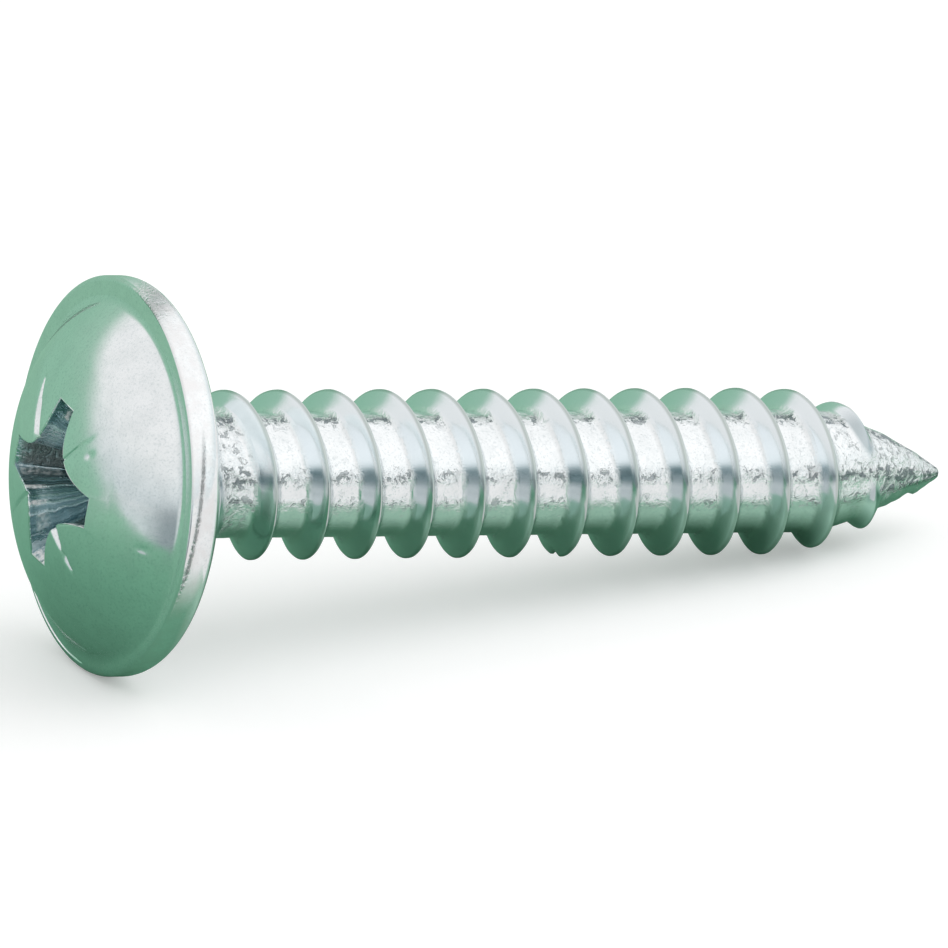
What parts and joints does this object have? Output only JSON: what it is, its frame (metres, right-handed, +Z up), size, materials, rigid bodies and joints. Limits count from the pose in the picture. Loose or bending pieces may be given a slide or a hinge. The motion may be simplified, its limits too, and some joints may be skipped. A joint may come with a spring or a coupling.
{
  "type": "collar-head tapping screw",
  "caption": "Tapping screw with a domed head, a wide collar, a cross recess, a coarse right-hand thread over the whole shank and a tapered point.",
  "frame": {"origin": "on the ground under the middle of the screw as it lies on its side, resting on its collar and on the thread near its point", "axes": "+X from the head towards the point, +Z up; the screw's own axis lies in the XZ plane and dips 8.42 degrees below +X"},
  "size_m": [0.028, 0.0108, 0.0108],
  "materials": {
    "zinc_plate": "bright zinc plate, clear passivated, smooth and slightly uneven"
  },
  "bodies": {
    "root": {"screw": "zinc_plate"}
  },
  "joints": []
}
